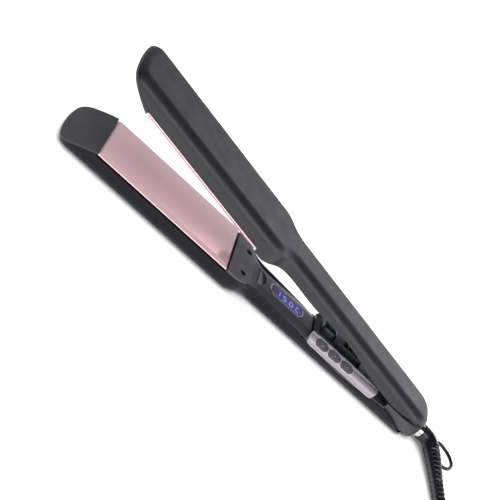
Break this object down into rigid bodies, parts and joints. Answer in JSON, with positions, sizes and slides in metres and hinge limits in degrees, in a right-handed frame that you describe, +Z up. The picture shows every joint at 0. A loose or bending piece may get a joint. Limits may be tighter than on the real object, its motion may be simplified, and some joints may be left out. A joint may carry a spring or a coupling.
{
  "type": "flat iron",
  "caption": "Wide-plate hair straightener, standing open: sprung hinge, floating plates, button strip, display window and mains cord with plug.",
  "frame": {"origin": "on the resting surface under the middle of the iron, without its free cord", "axes": "+X along the iron towards the cord, +Y across it away from the buttons, +Z up, normal to the lower arm's flat underside"},
  "size_m": [0.5951, 0.1057, 0.0758],
  "materials": {
    "casing_upper": "satin soft-touch charcoal",
    "casing_lower": "satin near-black",
    "cap": "satin dark grey",
    "frame": "satin mid grey",
    "plate": "mirror-smooth rose ceramic coating",
    "carrier": "black heat-resistant moulding",
    "heater": "metal-cased heating element",
    "mica": "mica sheet",
    "cushion": "soft silicone",
    "screw": "blackened steel",
    "lead": "silicone sleeved wire",
    "sensor": "glass bead",
    "fuse": "metal can",
    "bezel": "polished",
    "lens": "tinted window",
    "display": "lit digits",
    "board": "solder mask",
    "components": "moulded packages",
    "trim": "mauve metallic satin",
    "button": "satin grey",
    "hinge": "dark blue-grey moulding",
    "steel": "ground",
    "bush": "turned",
    "housing": "satin grey",
    "collar": "polished",
    "boot": "glossy black",
    "cord": "black sheath",
    "tie": "woven strap",
    "plug": "black moulding",
    "plug_pin": "nickel plated"
  },
  "bodies": {
    "lower_arm": {"lower_shell": "casing_lower", "lower_inner_frame": "frame", "lower_tip_cap": "cap", "lower_plate_cushions": "cushion", "lower_frame_screws": "screw", "lower_heater_leads": "lead", "display_bezel": "bezel", "display_lens": "lens", "display_module": "display", "control_board": "board", "board_components": "components", "button_board": "board", "tact_switches": "components", "button_trim": "trim", "hinge_block": "hinge", "hinge_block_screws": "screw", "hinge_pin": "steel", "hinge_washers": "steel", "opening_spring": "steel", "crossing_leads": "lead", "rear_housing": "housing", "cord_collar": "collar", "mains_leads": "lead", "strain_relief": "boot", "hanging_loop": "boot", "cord": "cord", "cord_hank": "cord", "cord_tie": "tie", "plug_body": "plug", "plug_pins": "plug_pin"},
    "lower_plate": {"lower_plate": "plate", "lower_plate_carrier": "carrier", "lower_heater": "heater", "lower_insulation_sheet": "mica", "temperature_sensor": "sensor", "thermal_fuse": "fuse"},
    "upper_arm": {"upper_shell": "casing_upper", "upper_inner_frame": "frame", "upper_tip_cap": "cap", "upper_plate_cushions": "cushion", "upper_frame_screws": "screw", "upper_heater_leads": "lead", "upper_hinge_yoke": "hinge", "yoke_screws": "screw", "hinge_bushes": "bush"},
    "upper_plate": {"upper_plate": "plate", "upper_plate_carrier": "carrier", "upper_heater": "heater", "upper_insulation_sheet": "mica"},
    "power_button": {"power_button": "button"},
    "minus_button": {"minus_button": "button"},
    "plus_button": {"plus_button": "button"}
  },
  "joints": [
    {"name": "arm_hinge", "type": "hinge", "parent": "lower_arm", "child": "upper_arm", "pos_m": [0.0977, 0, 0.0164], "axis": [0, -1, 0], "range_deg": [0, 9.78], "stiffness_Nm_per_rad": 3, "springref_deg": -14.32},
    {"name": "lower_plate_float", "type": "slide", "parent": "lower_arm", "child": "lower_plate", "axis": [0, 0, -1], "range_m": [0, 0.0006], "stiffness_N_per_m": 8000, "deforming": ["lower_plate_cushions", "lower_heater_leads"]},
    {"name": "upper_plate_float", "type": "slide", "parent": "upper_arm", "child": "upper_plate", "axis": [0.1699, 0, 0.9855], "range_m": [0, 0.0006], "stiffness_N_per_m": 8000, "deforming": ["upper_plate_cushions", "upper_heater_leads"]},
    {"name": "power_button_press", "type": "slide", "parent": "lower_arm", "child": "power_button", "axis": [0, 0.6157, -0.788], "range_m": [0, 0.0005], "stiffness_N_per_m": 2000},
    {"name": "minus_button_press", "type": "slide", "parent": "lower_arm", "child": "minus_button", "axis": [0, 0.6157, -0.788], "range_m": [0, 0.0005], "stiffness_N_per_m": 2000},
    {"name": "plus_button_press", "type": "slide", "parent": "lower_arm", "child": "plus_button", "axis": [0, 0.6157, -0.788], "range_m": [0, 0.0005], "stiffness_N_per_m": 2000}
  ]
}
